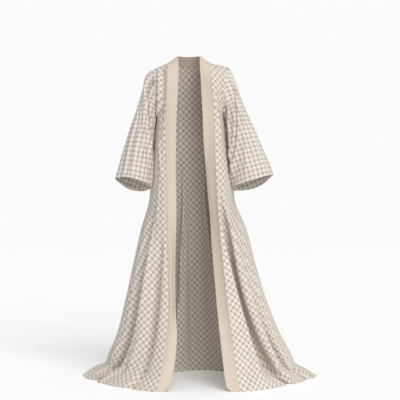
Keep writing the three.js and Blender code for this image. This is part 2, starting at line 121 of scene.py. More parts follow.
# Each side in the same rows: the seam of the band, the side seam below the underarm, how much higher the
# side lies than the band, and the degrees by which the band turns inwards and slopes up to the neck. Then
# where the shoulder seam and the armhole end, and how far the front's armhole bows in over the chest.
SIDES = tables(
    "seam_x side_x side_y lift turn rise",
    right=[
        [-103, 0, 0, 0, 0, 36],
        [-104, 0, 0, 0, 4, 26],
        [-105, 0, 0, 0, 14, 14],
        [-107, 0, 0, 0, 26, 6],
        [-111, -158, 5, 0, 30, 0],
        [-113, -183, 62, 0, 31, 0],
        [-112, -189, 52, 0, 34, 0],
        [-110, -200, 42, 0, 34, 0],
        [-107, -238, 38, 0, 36, 0],
        [-101, -284, 56, 0, 44, 0],
        [-97, -330, 80, 0, 47, 0],
        [-107, -373, 104, 0, 32, 0],
        [-119, -413, 124, 0, 25, 0],
        [-132, -440, 138, 4, 20, 0],
        [-142, -494, 148, 16, 12, 0],
        [-152, -552, 162, 0, 2, 0],
    ],
    left=[
        [103, 0, 0, 0, 0, 36],
        [106, 0, 0, 0, 6, 26],
        [110, 0, 0, 0, 20, 14],
        [118, 0, 0, 0, 16, 6],
        [126, 172, 5, 0, 10, 0],
        [128, 201, 62, 0, 22, 0],
        [134, 223, 54, 0, 34, 0],
        [141, 230, 48, 0, 39, 0],
        [150, 284, 46, 0, 41, 0],
        [170, 338, 50, 0, 35, 0],
        [192, 402, 68, 0, 25, 0],
        [213, 470, 86, 0, 10, 0],
        [224, 520, 102, 0, 4, 0],
        [231, 547, 114, 4, 2, 0],
        [237, 596, 128, 12, 3, 0],
        [243, 655, 152, 0, 4, 0],
    ],
)
RIGHT = {
    "name": "right", "out": -1, "shoulder": (-189, 8, -68), "underarm": (-158, 5, -312), "chest_in": 14,
    **SIDES["right"],
}
LEFT = {
    "name": "left", "out": 1, "shoulder": (197, 8, -52), "underarm": (172, 5, -312), "chest_in": 12,
    **SIDES["left"],
}

# The sleeves below their armholes: the two ends of the flattened tube, how far it bows to the front and
# back, and how much its front is raised and its back lowered.
SLEEVES = tables(
    "outer_x outer_drop inner_x inner_drop middle_y front back lift dip point",
    right=[
        [-211, 88, -162, 328, 8, 82, 82, 0, 0, 1.02],
        [-232, 160, -166.5, 358, -2, 78, 80, 0, 0, 1.08],
        [-260, 262, -175, 422, -26, 75, 76, 0, 0, 1.15],
        [-295, 368, -180, 492, -42, 72, 73, 0, 2, 1.2],
        [-326, 472, -186, 560, -46, 70, 71, 4, 10, 1.25],
        [-350, 555, -190, 614, -46, 70, 70, 12, 24, 1.36],
        [-367, 608, -194, 646, -46, 71, 69, 21, 40, 1.45],
    ],
    left=[
        [219, 90, 176, 330, 8, 82, 82, 0, 0, 1.02],
        [245, 162, 181.5, 360, -2, 78, 80, 0, 0, 1.08],
        [280, 260, 191, 424, -26, 75, 76, 0, 0, 1.15],
        [324, 362, 201, 494, -42, 72, 73, 0, 2, 1.2],
        [369, 468, 213, 560, -52, 70, 71, 0, 10, 1.25],
        [401, 540, 220, 612, -58, 70, 70, 2, 24, 1.4],
        [418, 587, 224, 646, -62, 71, 69, 4, 42, 1.5],
    ],
)

# The largest folds. start is the length down the piece where one begins, at_top and at_hem the share of the
# panel's width (or the turn round a sleeve) where it lies, and half its half width in the same share.
FOLDS = tables(
    "start at_top at_hem bend half depth",
    front_right=[
        [640, 0.51, 0.75, 3, 0.14, -50],
        [720, 0.66, 0.84, 1.8, 0.13, 30],
        [860, 0.15, 0.25, 1, 0.12, -24],
        [820, 0.35, 0.47, 2, 0.11, 22],
    ],
    front_left=[
        [540, 0.06, 0.47, 0.95, 0.15, -46],
        [620, 0.19, 0.6, 0.95, 0.12, 28],
        [960, 0.52, 0.8, 0.8, 0.12, -28],
        [900, 0.08, 0.28, 1.2, 0.12, 18],
    ],
    back=[
        [560, -0.74, -0.8, 1, 0.12, -40],
        [420, -0.42, -0.48, 1, 0.14, -52],
        [500, -0.58, -0.64, 1, 0.12, 26],
        [380, -0.11, -0.15, 1, 0.13, -46],
        [560, -0.26, -0.31, 1, 0.11, 26],
        [430, 0.2, 0.2, 1, 0.13, -54],
        [600, 0.05, 0.03, 1, 0.11, 24],
        [540, 0.36, 0.37, 1, 0.11, 28],
        [480, 0.52, 0.55, 1, 0.14, -50],
        [700, 0.78, 0.8, 1, 0.12, -38],
    ],
    sleeve_right=[
        [40, 0.2, 0.52, 0.45, 0.09, -16],
        [160, 0.12, 0.2, 0.6, 0.09, -12],
        [60, 0.66, 0.68, 1, 0.1, -16],
        [240, 0.82, 0.8, 1, 0.09, -10],
    ],
    sleeve_left=[
        [50, 0.1, 0.55, 0.85, 0.09, -18],
        [180, 0.07, 0.12, 1, 0.08, -10],
        [80, 0.64, 0.62, 1, 0.1, -15],
        [220, 0.8, 0.83, 1, 0.09, -12],
    ],
)
HEM_FADE = {"front": 0.85, "back": 0.35, "sleeve": 0.0}  # what the folds lose at the hem, over a length
FADE_LENGTH = 150.0
SIDE_HOLD = 0.07  # the share of a panel's width by its side seam where the folds die out, and by its band
BAND_HOLD = 0.06
CREASE_HOLD = 14.0  # from a sewn edge, over which the creases die out


# ---- smooth lines through the cut --------------------------------------------


def smoothstep(x, low, high):
    """0 up to low and 1 from high on, with a smooth rise between."""
    f = np.clip((np.asarray(x, float) - low) / (high - low), 0, 1)
    return f * f * (3 - 2 * f)


def unit(vectors):
    """Vectors at a length of 1."""
    return vectors / np.maximum(np.linalg.norm(vectors, axis=-1, keepdims=True), 1e-9)


def lengths(points):
    """Running length along a list of points."""
    steps = np.linalg.norm(np.diff(np.array(points, float), axis=0), axis=-1)
    return np.concatenate([[0.0], np.cumsum(steps)])


def curve_at(points, knots, at, start=None, eased=None):
    """A smooth curve through points at uneven knots. It passes the eased one at half its usual speed."""
    gaps = np.diff(knots)
    chords = [(points[k + 1] - points[k]) / gap for k, gap in enumerate(gaps)]
    slopes = [chords[0] if start is None else start]
    for k in range(1, len(gaps)):
        slopes.append((chords[k] * gaps[k - 1] + chords[k - 1] * gaps[k]) / (gaps[k - 1] + gaps[k]))
    slopes.append(chords[-1])
    if eased is not None:
        slopes[eased] = chords[eased] * 0.5
    at = np.asarray(at, float)[..., None]
    result = 0.0
    for k, gap in enumerate(gaps):
        f = (at - knots[k]) / gap
        here = (
            points[k] * (1 + 2 * f) * (1 - f) ** 2
            + slopes[k] * gap * f * (1 - f) ** 2
            + points[k + 1] * f * f * (3 - 2 * f)
            + slopes[k + 1] * gap * f * f * (f - 1)
        )
        inside = ((at > knots[k]) | (k == 0)) & ((at <= knots[k + 1]) | (k == len(gaps) - 1))
        result = np.where(inside, here, result)
    return result


BODY_KNOTS = lengths([(0, y, -drop) for y, drop in zip(BODY["front_y"], BODY["front_drop"])])
BODY_LENGTH = BODY_KNOTS[-1]


def between(a, b, share):
    return np.array(a, float) + (np.array(b, float) - np.array(a, float)) * np.asarray(share)[..., None]


def row_points(middle, edge, s, wrap, point):
    """One row of a panel, from its middle to its side edge."""
    power = 2 / point
    full = math.radians(wrap)

    def reach(angle):
        return (np.sin(angle) ** power + np.cos(angle) ** power) ** (-1 / power)

    across = reach(full * s) * np.sin(full * s) / (reach(full) * np.sin(full))
    ending = reach(full) * np.cos(full)
    along = (reach(full * s) * np.cos(full * s) - ending) / (1 - ending)
    x = middle[0] + (edge[0] - middle[0]) * across
    y = edge[1] + (middle[1] - edge[1]) * along
    z = middle[2] + (edge[2] - middle[2]) * across
    return np.stack([x, y, z], -1)


def armhole(side, front, share):
    """A point of the armhole, from the shoulder to the underarm."""
    top, bottom = np.array(side["shoulder"], float), np.array(side["underarm"], float)
    inward = side["chest_in"] if front else side["chest_in"] / 3
    forward = -ARMHOLE_FRONT if front else ARMHOLE_BACK
    angle = math.pi * share
    bow = np.array([-side["out"] * inward, forward, 0]) * math.sin(angle)
    return (top + bottom) / 2 + (top - bottom) / 2 * math.cos(angle) + bow


def side_edge(side, front, k):
    if k < UNDERARM:
        return armhole(side, front, k / UNDERARM)
    return np.array([side["side_x"][k], side["side_y"][k], side["lift"][k] - BODY["front_drop"][k]])


def band_seam(side, k):
    return np.array([side["seam_x"][k], BODY["front_y"][k], -BODY["front_drop"][k]])


def shoulder_seam(side, share):
    return between(band_seam(side, 0), side["shoulder"], share)


def front_plain(side):
    """A front without its folds: s from the band seam to the side seam, at down from the shoulder."""

    def surface(s, at):
        s = np.asarray(s, float)
        rows = [shoulder_seam(side, s)]
        for k in range(1, ROWS):
            seam, edge = band_seam(side, k), side_edge(side, True, k)
            rows.append(row_points(seam, edge, s, BODY["wrap"][k], BODY["point"][k]))
        return curve_at(rows, BODY_KNOTS, at, start=np.array([0.0, -1.0, 0.0]), eased=UNDERARM)

    return surface


def back_top(side, share):
    """The top edge of the back: its neckline, then the shoulder seam."""
    share = np.asarray(share, float)
    angle = math.pi / 2 * (1 - np.minimum(share, NECK_SHARE) / NECK_SHARE)
    seam = band_seam(side, 0)
    neckline = np.stack(
        [
            seam[0] * np.cos(angle),
            seam[1] + (BODY["back_y"][0] - seam[1]) * np.sin(angle),
            -BODY["front_drop"][0] - (BODY["back_drop"][0] - BODY["front_drop"][0]) * np.sin(angle),
        ],
        -1,
    )
    shoulder = shoulder_seam(side, np.maximum(share - NECK_SHARE, 0) / (1 - NECK_SHARE))
    return np.where((share > NECK_SHARE)[..., None], shoulder, neckline)


def back_plain(u, at):
    """The back without its folds: u from -1 at the right side seam to 1 at the left one."""
    u = np.asarray(u, float)
    share = np.abs(u)
    halves = [[back_top(side, share)] for side in (RIGHT, LEFT)]
    for k in range(1, ROWS):
        middle = (BODY["back_x"][k], BODY["back_y"][k], -BODY["back_drop"][k])
        for side, half in zip((RIGHT, LEFT), halves):
            half.append(row_points(middle, side_edge(side, False, k), share, BODY["wrap"][k], 1))
    rows = [np.where((u < 0)[..., None], right, left) for right, left in zip(*halves)]
    down = (rows[1] - rows[0]) / BODY_KNOTS[1]
    ease = smoothstep(share, NECK_SHARE * 0.6, NECK_SHARE)[..., None]
    start = down + (np.array([0.0, 1.0, 0.0]) - down) * ease
    return curve_at(rows, BODY_KNOTS, at, start=start, eased=UNDERARM)


def normal_of(surface, s, at, least, most):
    """Unit normal of a surface, by small steps inside its range."""
    low, high = np.maximum(least, s - 0.004), np.minimum(most, s + 0.004)
    up = np.maximum(0, at - 1.0)
    sideways = surface(high, at) - surface(low, at)
    downward = surface(s, up + 2.0) - surface(s, up)
    return unit(np.cross(sideways, downward))


def fold_depth(folds, fade, s, at, whole, ring=False):
    """Sum of the large folds at share s and length at."""
    depth = 0.0
    for fold in rows_of(folds):
        grown = np.clip((at - fold["start"]) / (whole - fold["start"]), 0, 1)
        centre = fold["at_top"] + (fold["at_hem"] - fold["at_top"]) * grown ** fold["bend"]
        apart = np.abs(s - centre)
        if ring:
            apart = np.minimum(apart, 1 - apart)
        offset = np.clip(apart / fold["half"], 0, 1)
        growth = smoothstep(grown, 0, 0.6) * (0.5 + 0.5 * grown)
        depth = depth + fold["depth"] * growth * np.cos(math.pi / 2 * offset) ** 2
    return depth * (1 - fade * smoothstep(at, whole - FADE_LENGTH, whole))


def folded_panel(plain, folds, fade, least, facing):
    """A body panel with its large folds, which die out towards its sewn edges."""

    def surface(s, at):
        s, at = np.asarray(s, float), np.asarray(at, float)
        normal = normal_of(plain, s, at, least, 1)
        normal[..., 2] = 0
        sewn = smoothstep(1 - np.abs(s), 0, SIDE_HOLD)
        if least == 0:
            sewn = sewn * smoothstep(s, 0, BAND_HOLD)
        depth = fold_depth(folds, fade, s, at, BODY_LENGTH) * sewn * facing
        return plain(s, at) + unit(normal) * depth[..., None]

    return surface


def sleeve_knots(side):
    cuts = SLEEVES[side["name"]]
    outer = [(x, 0, -drop) for x, drop in zip(cuts["outer_x"], cuts["outer_drop"])]
    return lengths([(side["shoulder"][0], 0, side["shoulder"][2]), *outer])


def sleeve_plain(side):
    """A sleeve without its folds: a runs round it from the top, over the front and the underarm."""
    knots = sleeve_knots(side)
    front = front_plain(side)
    cuts = rows_of(SLEEVES[side["name"]])
    rows = np.arange(UNDERARM + 1)

    def ring(cut, a):
        angle = 2 * math.pi * a
        power = 2 / (1 + (cut["point"] - 1) * (1 + np.cos(angle)) / 2)
        reach = (np.abs(np.cos(angle)) ** power + np.abs(np.sin(angle)) ** power) ** (-1 / power)
        along, bow = reach * np.cos(angle) / 2, reach * np.sin(angle)
        depth = np.where(bow > 0, cut["front"], cut["back"])
        x = (cut["outer_x"] + cut["inner_x"]) / 2 + along * (cut["outer_x"] - cut["inner_x"])
        z = -(cut["outer_drop"] + cut["inner_drop"]) / 2 - along * (cut["outer_drop"] - cut["inner_drop"])
        z = z + bow * np.where(bow > 0, cut["lift"], cut["dip"])
        return np.stack([x, cut["middle_y"] - bow * depth, z], -1)

    def surface(a, at):
        turn = np.asarray(a, float) % 1
        down = np.interp(UNDERARM * (1 - np.abs(1 - 2 * turn)), rows, BODY_KNOTS[rows])
        ones = np.ones_like(turn)
        start = np.where((turn <= 0.5)[..., None], front(ones, down), back_plain(side["out"] * ones, down))
        rings = [start] + [ring(cut, turn) for cut in cuts]
        return curve_at(rings, knots, at)

    return surface


def folded_sleeve(side):
    tube = sleeve_plain(side)
    name = f"sleeve_{side['name']}"
    whole = sleeve_knots(side)[-1]

    def surface(a, at):
        a, at = np.asarray(a, float), np.asarray(at, float)
        depth = fold_depth(FOLDS[name], HEM_FADE["sleeve"], a % 1, at, whole, ring=True)
        return tube(a, at) + normal_of(tube, a, at, -1, 2) * (-side["out"] * depth)[..., None]

    return surface


def band_plain(side):
    """The band: across from its seam to its edge, at negative round the back neck."""
    front = front_plain(side)
    settings = [np.array([turn, rise, 0.0]) for turn, rise in zip(side["turn"], side["rise"])]

    def surface(across, at):
        across, at = np.broadcast_arrays(np.asarray(across, float), np.asarray(at, float))
        neck = np.maximum(0, -at / NECK_LENGTH)
        seam_line = front(np.zeros_like(at), np.maximum(at, 0))
        neck_line = back_top(side, NECK_SHARE * (1 - neck))
        seam = np.where((neck > 0)[..., None], neck_line, seam_line)
        placed = curve_at(settings, BODY_KNOTS, np.maximum(at, 0))
        turn = np.radians(placed[..., 0] - 90 * neck)
        rise = np.radians(placed[..., 1] + NECK_RISE * np.sin(math.pi / 2 * neck))
        out = BAND_WIDTH * across
        level = np.cos(rise) * out
        corner = smoothstep(across, 0.6, 1) * smoothstep(at, BODY_LENGTH - CORNER_LENGTH, BODY_LENGTH)
        up = np.sin(rise) * out + BAND_CORNER * corner
        return seam + np.stack([-side["out"] * np.cos(turn) * level, np.sin(turn) * level, up], -1)

    return surface


# ---- creases and small waves of the cloth ------------------------------------

# Creases within and beside the large folds. start and end are lengths down the piece, and past its hem
# where a crease runs off it; at_start, at_middle and at_end are shares of its width; half is the half width
# in millimetres of cloth; depth is negative for a trough; lean is how much wider the far side of a crease is
# than the near side.
CREASES = tables(
    "start end at_start at_middle at_end half depth lean",
    front_right=[
        [560, 2100, 0.56, 0.55, 1.2, 24, -38, -0.4],
        [700, 1860, 0.47, 0.42, 0.82, 26, 14, 0],
        [840, 1860, 0.13, 0.21, 0.27, 34, -28, 0.1],
        [1050, 1900, 0.73, 0.785, 1.15, 18, -22, 0.2],
        [1100, 1900, 0.66, 0.73, 0.98, 18, 9, 0],
        [820, 1320, 0.86, 0.83, 0.78, 15, -6, 0.2],
        [1000, 1500, 0.9, 0.9, 0.93, 14, -5, 0],
        [20, 380, 0.6, 0.74, 0.78, 13, 13, 0],
        [10, 430, 0.78, 0.9, 0.97, 17, -22, -0.2],
        [20, 360, 0.4, 0.46, 0.5, 24, -14, 0.2],
        [0, 430, 0.24, 0.3, 0.28, 26, -11, 0],
        [400, 640, 0.3, 0.25, 0.18, 18, 6, 0.2],
        [300, 520, 0.16, 0.26, 0.36, 14, -7, 0],
        [500, 820, 0.42, 0.4, 0.46, 22, -7, -0.2],
        [620, 900, 0.24, 0.28, 0.25, 16, 6, 0],
        [1480, 1760, 0.66, 0.76, 0.94, 18, -13, -0.3],
    ],
    front_left=[
        [560, 2100, 0.12, 0.365, 0.8, 32, -38, -0.25],
        [600, 1860, 0.2, 0.39, 0.72, 26, 14, 0],
        [980, 2000, 0.5, 0.74, 0.99, 20, -29, -0.2],
        [1200, 1900, 0.72, 0.82, 1.05, 16, 9, 0],
        [700, 1000, 0.24, 0.32, 0.42, 12, -8, -0.3],
        [760, 1260, 0.66, 0.62, 0.68, 20, -6, 0.1],
        [980, 1520, 0.82, 0.78, 0.86, 19, -7, 0.2],
        [1180, 1700, 0.14, 0.2, 0.24, 26, -7, 0],
        [60, 420, 0.5, 0.56, 0.52, 22, -5, 0],
        [30, 360, 0.8, 0.84, 0.93, 14, -8, -0.2],
        [150, 560, 0.3, 0.27, 0.33, 18, 5, 0],
        [400, 720, 0.58, 0.54, 0.47, 20, -7, 0.2],
        [1480, 1760, 0.46, 0.55, 0.76, 20, -14, -0.2],
    ],
    back=[
        [520, 1880, -0.76, -0.8, -0.84, 24, -18, 0.2],
        [700, 1900, -0.66, -0.7, -0.72, 20, 10, 0],
        [430, 1860, -0.44, -0.47, -0.52, 26, -20, -0.2],
        [620, 1820, -0.34, -0.36, -0.41, 18, -9, 0.2],
        [380, 1900, -0.12, -0.15, -0.19, 22, -18, 0.3],
        [560, 1860, -0.03, -0.05, -0.04, 24, 9, 0],
        [420, 1840, 0.19, 0.21, 0.24, 28, -22, -0.2],
        [700, 1700, 0.3, 0.29, 0.33, 16, -8, 0],
        [470, 1900, 0.53, 0.55, 0.6, 24, -19, 0.2],
        [640, 1860, 0.64, 0.67, 0.71, 20, 10, 0],
        [660, 1880, 0.79, 0.81, 0.86, 20, -15, -0.3],
        [900, 1500, 0.43, 0.42, 0.45, 15, -6, 0.2],
        [120, 520, -0.3, -0.22, -0.2, 24, -6, 0],
        [90, 460, 0.34, 0.27, 0.22, 22, -6, 0],
        [200, 640, 0.62, 0.66, 0.6, 20, -7, 0.2],
        [160, 560, -0.64, -0.7, -0.64, 18, -7, -0.2],
    ],
    sleeve_right=[
        [-160, 340, -0.05, 0.26, 0.57, 22, -30, -0.2],
        [60, 620, 0.42, 0.44, 0.46, 16, -8, 0.1],
        [-60, 520, 0, 0.25, 0.36, 22, 10, 0],
        [-20, 100, 0.3, 0.34, 0.38, 60, 8, 0],
        [140, 640, 0.1, 0.175, 0.2, 24, -14, 0],
        [-40, 300, 0.3, 0.42, 0.46, 12, 5, 0],
        [260, 640, 0.04, 0.08, 0.1, 18, -5, 0],
        [-60, 460, 0.8, 0.7, 0.62, 18, -12, 0],
        [120, 640, 0.9, 0.84, 0.8, 20, -9, 0.2],
        [300, 640, 0.7, 0.72, 0.71, 16, -5, 0],
    ],
    sleeve_left=[
        [-60, 520, 0, 0.268, 0.536, 22, -18, -0.1],
        [-60, 560, 0.24, 0.385, 0.44, 18, 12, 0],
        [-100, 220, 0, 0.4, 0.47, 14, -8, 0],
        [40, 620, 0.06, 0.22, 0.34, 16, 7, 0],
        [200, 640, 0.04, 0.09, 0.13, 20, -6, 0],
        [300, 640, 0.2, 0.21, 0.24, 22, -5, 0.2],
        [-60, 480, 0.82, 0.72, 0.6, 18, -12, 0],
        [100, 640, 0.92, 0.87, 0.82, 20, -8, 0.2],
        [280, 640, 0.72, 0.74, 0.73, 16, -5, 0],
    ],
    band_right=[
        [780, 1450, 1, 1, 1, 30, -14, 0],
        [200, 760, 0.6, 0.55, 0.6, 8, -1.2, 0],
    ],
    band_left=[
        [420, 980, 1, 1, 1, 22, -4, 0],
        [120, 700, 0.66, 0.62, 0.68, 8, -1.2, 0],
    ],
)


def crease_depth(creases, s, at, width, ring):
    """Sum of the creases at share s and length at, on cloth of some width."""
    depth = np.zeros(np.broadcast(s, at).shape)
    for crease in rows_of(creases):
        along = np.clip((at - crease["start"]) / (crease["end"] - crease["start"]), 0, 1)
        ends = smoothstep(along, 0, 0.35) * (1 - smoothstep(along, 0.7, 1))
        sag = 4 * crease["at_middle"] - 2 * crease["at_start"] - 2 * crease["at_end"]
        centre = crease["at_start"] * (1 - along) + crease["at_end"] * along + sag * along * (1 - along)
        apart = s - centre
        if ring:
            apart = (apart + 0.5) % 1 - 0.5
        half = crease["half"] * (1 + crease["lean"] * np.sign(apart))
        offset = np.clip(np.abs(apart) * width / half, 0, 1)
        depth += crease["depth"] * ends * np.cos(math.pi / 2 * offset) ** 2
    return depth


def small_waves(flat, amount, seed):
    """Soft unevenness of hanging cloth, longer down the piece than across it."""
    heights = np.empty(flat.shape[:2])
    for r, c in np.ndindex(heights.shape):
        u, v = flat[r, c]
        broad = noise.noise(Vector((u / 85, v / 260, seed)))
        fine = noise.noise(Vector((u / 34, v / 95, seed + 7)))
        heights[r, c] = broad + 0.35 * fine
    return heights * amount


# ---- from a surface to a piece of cloth --------------------------------------


def shares(low, high, count, bunch=0.0):
    """Even steps between two values, closer together near both ends by the share bunch."""
    t = np.linspace(0, 1, count + 1)
    return low + (high - low) * (t - bunch * np.sin(2 * math.pi * t) / (2 * math.pi))


def rows_to_hem(length, step):
    """Rows down a piece, about step apart, with extra ones at its turned hem."""
    rows, depth = np.linspace(0, length, round(length / step) + 1), HEM_DEPTH
    extra = [depth + 2.5, depth + 0.5, depth - 1.5, depth * 0.6, depth * 0.3, 3, 0]
    return np.concatenate([rows[rows < length - depth - 6], length - np.array(extra)])


def normals_of(points, ring, flip):
    """The outward normals of a grid of points."""
    across = np.gradient(points, axis=1)
    down = np.gradient(points, axis=0)
    if ring:
        across[:, 0] = across[:, -1] = (points[:, 1] - points[:, -2]) / 2
    normals = unit(np.cross(across, down))
    return -normals if flip else normals


def laid_flat(points, spine, tube, rounds=500, easing=4.4, carried_on=0.93):
    """Lays a grid of cloth flat with its lengths kept, and its spine column straight down."""
    across = np.stack([lengths(row) for row in points])
    across -= across[:, spine : spine + 1]
    up = np.stack([lengths(points[::-1, c if tube else spine])[::-1] for c in range(points.shape[1])], 1)
    flat = np.stack([across, up], -1)
    whole, tail, head = slice(None), slice(1, None), slice(None, -1)
    pairs = [
        ((whole, head), (whole, tail)),
        ((head, whole), (tail, whole)),
        ((head, head), (tail, tail)),
        ((head, tail), (tail, head)),
    ]
    rests = [np.linalg.norm(points[b] - points[a], axis=-1) for a, b in pairs]
    early, late = slice(None, -2), slice(2, None)
    pairs += [((whole, early), (whole, late)), ((early, whole), (late, whole))]
    rests += [rests[0][:, 1:] + rests[0][:, :-1], rests[1][1:] + rests[1][:-1]]
    before = flat
    for _ in range(rounds):
        move = np.zeros_like(flat)
        for (a, b), rest in zip(pairs, rests):
            gap = flat[b] - flat[a]
            length = np.maximum(np.linalg.norm(gap, axis=-1), 1e-9)
            pull = gap * ((length - rest) / length)[..., None] / 2
            move[a] += pull
            move[b] -= pull
        before, flat = flat, flat + move / easing + carried_on * (flat - before)
    line = flat[-1, spine] - flat[0, spine]
    return turned(flat - flat[0, spine], math.atan2(line[0], -line[1]))


def turned(flat, angle):
    """A flat piece turned clockwise by an angle in radians."""
    return flat @ np.array([[math.cos(angle), math.sin(angle)], [-math.sin(angle), math.cos(angle)]])


def filled_in(coarse, down, across, rows, columns):
    """Fills a grid in between its picked rows and columns."""
    wide = np.empty((len(down), len(columns), 2))
    full = np.empty((len(rows), len(columns), 2))
    for k in range(2):
        for r in range(len(down)):
            wide[r, :, k] = np.interp(columns, columns[across], coarse[r, :, k])
        for c in range(len(columns)):
            full[:, c, k] = np.interp(rows, rows[down], wide[:, c, k])
    return full


def picked(count, step):
    """Every so many lines of a grid, and its last one."""
    return np.array([*range(0, count - 1, step), count - 1])


def corners(grid):
    """The four corners of every cell of a grid."""
    return [grid[:-1, :-1], grid[:-1, 1:], grid[1:, 1:], grid[1:, :-1]]


SEWN = {
    "front": ["first column", "last column", "first row"],
    "back": ["first column", "last column", "first row"],
    "sleeve": ["first row"],
    "band": ["first column", "first row"],
}
EDGES = {  # in order round a piece, each with the line beside it
    "first row": (np.s_[0, :], np.s_[1, :]),
    "last column": (np.s_[:, -1], np.s_[:, -2]),
    "last row": (np.s_[-1, :], np.s_[-2, :]),
    "first column": (np.s_[:, 0], np.s_[:, 1]),
}


class Piece:
    """A piece of the garment: the middle surface of its cloth, and the same cloth laid flat.

    waves and seed give its small waves. flip says that its columns run the other way round, ring that it is
    a tube, spine which column is laid straight down, and grain by how many degrees the weave is turned from
    it.
    """

    def __init__(
        self, name, surface, columns, rows, waves, seed, flip, ring=False, wall=CLOTH, spine=0, grain=0
    ):
        self.name, self.ring, self.flip, self.wall = name, ring, flip, wall
        self.sewn = SEWN[name.split("_")[0]]
        self.columns, self.rows = columns, rows
        self.spine, self.grain = int(np.argmin(np.abs(columns - spine))), math.radians(grain)
        self.points = surface(columns[None, :], rows[:, None])
        down, across = picked(len(rows), 6), picked(len(columns), 7)
        place = int(np.argmin(np.abs(across - self.spine)))
        pattern = laid_flat(self.points[np.ix_(down, across)], place, ring)
        self.flat = filled_in(pattern, down, across, rows, columns)
        self.crease(CREASES[name], waves, seed)

    def width(self):
        """Width of the cloth at each row."""
        return np.linalg.norm(np.diff(self.points, axis=1), axis=-1).sum(axis=1)[:, None]

    def crease(self, creases, waves, seed):
        """Adds the small creases and waves, with the cloth that they take up, away from the sewn edges."""
        uneven = small_waves(self.flat, waves, seed)
        if self.ring:
            beside = np.minimum(self.distances("first column"), self.distances("last column"))
            uneven = uneven * smoothstep(beside, 0, 30)
        depth = crease_depth(creases, self.columns[None, :], self.rows[:, None], self.width(), self.ring)
        depth = (depth + uneven) * self.held(CREASE_HOLD)
        self.points = self.points + normals_of(self.points, self.ring, self.flip) * depth[..., None]
        taken = np.linalg.norm(np.diff(self.points, axis=1), axis=-1, keepdims=True)
        laid = np.cumsum(unit(np.diff(self.flat, axis=1)) * taken, axis=1)
        laid = np.pad(laid, ((0, 0), (1, 0), (0, 0)))
        self.flat = laid + (self.flat - laid)[:, self.spine : self.spine + 1]

    def keep_clear_of(self, others):
        """Moves a sleeve's cloth off that of the body, below their seam, so that they hang just apart."""
        points, normals, faces = [], [], []
        for other in others:
            index = len(points) + np.arange(other.points[..., 0].size).reshape(other.points.shape[:2])
            cells = [index[:-1, :-1], index[1:, :-1], index[1:, 1:], index[:-1, 1:]]
            faces += np.stack(cells, -1).reshape(-1, 4).tolist()
            points += other.points.reshape(-1, 3).tolist()
            normals += normals_of(other.points, other.ring, other.flip).reshape(-1, 3).tolist()
        tree, normals = BVHTree.FromPolygons(points, faces), np.array(normals)
        free = smoothstep(self.distances("first row"), 12, 50)
        for r, c in np.ndindex(free.shape):
            place, _, face, _ = tree.find_nearest(Vector(self.points[r, c]), SLEEVE_SEARCH)
            if place is not None:
                normal = unit(normals[faces[face]].mean(axis=0))
                height = np.dot(self.points[r, c] - np.array(place), normal)
                self.points[r, c] += normal * max(SLEEVE_CLEAR - height, 0) * free[r, c]

    def distances(self, edge):
        """Distance of every point from an edge, measured along the lines of the grid."""
        axis = 1 if "column" in edge else 0
        steps = np.linalg.norm(np.diff(self.points, axis=axis), axis=-1)
        zero = np.zeros_like(np.take(steps, [0], axis=axis))
        if "first" in edge:
            return np.concatenate([zero, np.cumsum(steps, axis=axis)], axis=axis)
        return np.concatenate([np.flip(np.cumsum(np.flip(steps, axis), axis=axis), axis), zero], axis=axis)

    def held(self, reach):
        """0 on the sewn edges and 1 away from them."""
        free = np.ones(self.points.shape[:2])
        for edge in self.sewn:
            free = free * smoothstep(self.distances(edge), 0, reach)
        return free

    def edge(self, name):
        """The points of an edge, their normals, and the directions from it into the piece."""
        here, beside = EDGES[name]
        points, normal = self.points[here], normals_of(self.points, self.ring, self.flip)[here]
        line = np.gradient(points, axis=0)
        if self.ring:
            line[0] = line[-1] = (points[1] - points[-2]) / 2
        inward = unit(np.cross(normal, line))
        inward *= np.sign((inward * (self.points[beside] - points)).sum(-1, keepdims=True))
        return points, normal, inward


def seam_tree(pieces):
    """All the points on sewn edges, to find what each edge is sewn to."""
    rows = [
        (piece.name, *found) for piece in pieces for edge in piece.sewn for found in zip(*piece.edge(edge))
    ]
    tree = KDTree(len(rows))
    for i, row in enumerate(rows):
        tree.insert(row[1], i)
    tree.balance()
    return tree, rows


def drawn_back(piece, edge, seams):
    """How far the outer and inner layers of an edge draw back, so that two pieces meet as in a mitre."""
    tree, rows = seams
    points, normals, inward = piece.edge(edge)
    pulls = np.full((2, len(points)), SEAM_GAP / 2)
    for i, (point, normal, into) in enumerate(zip(points, normals, inward)):
        met = set()
        for _, index, _ in tree.find_range(point, SEAM_SEARCH):
            name = rows[index][0]
            if name == piece.name or name in met:
                continue
            met.add(name)
            nearest = [found for _, found, _ in tree.find_n(point, 12) if rows[found][0] == name]
            apart = into - rows[nearest[0] if nearest else index][3]
            length = np.linalg.norm(apart)
            if length < 0.05:
                continue
            mitre = apart / length
            for layer, half in enumerate((piece.wall / 2, -piece.wall / 2)):
                pull = (SEAM_GAP / 2 - half * normal @ mitre) / max(into @ mitre, 0.03)
                least = pulls[layer, i] if len(met) > 1 else -SEAM_OVERLAP
                pulls[layer, i] = max(least, min(pull, SEAM_REACH))
    for layer in range(2):
        padded = np.pad(pulls[layer], 2, mode="edge")
        pulls[layer] = sum(padded[k : k + len(points)] for k in range(5)) / 5
    return inward, pulls


def layers_of(piece, seams):
    """The outer and inner layer of a piece's cloth."""
    normals = normals_of(piece.points, piece.ring, piece.flip)
    outer = piece.points + normals * piece.wall / 2
    inner = piece.points - normals * piece.wall / 2
    for edge in piece.sewn:
        inward, pulls = drawn_back(piece, edge, seams)
        near = np.clip(1 - piece.distances(edge) / SEAM_EASE, 0, 1) ** 2
        column = "column" in edge
        into = inward[:, None] if column else inward[None, :]
        for layer, pull in zip((outer, inner), pulls):
            reach = near * (pull[:, None] if column else pull[None, :])
            layer += into * reach[..., None]
    return outer, inner, normals


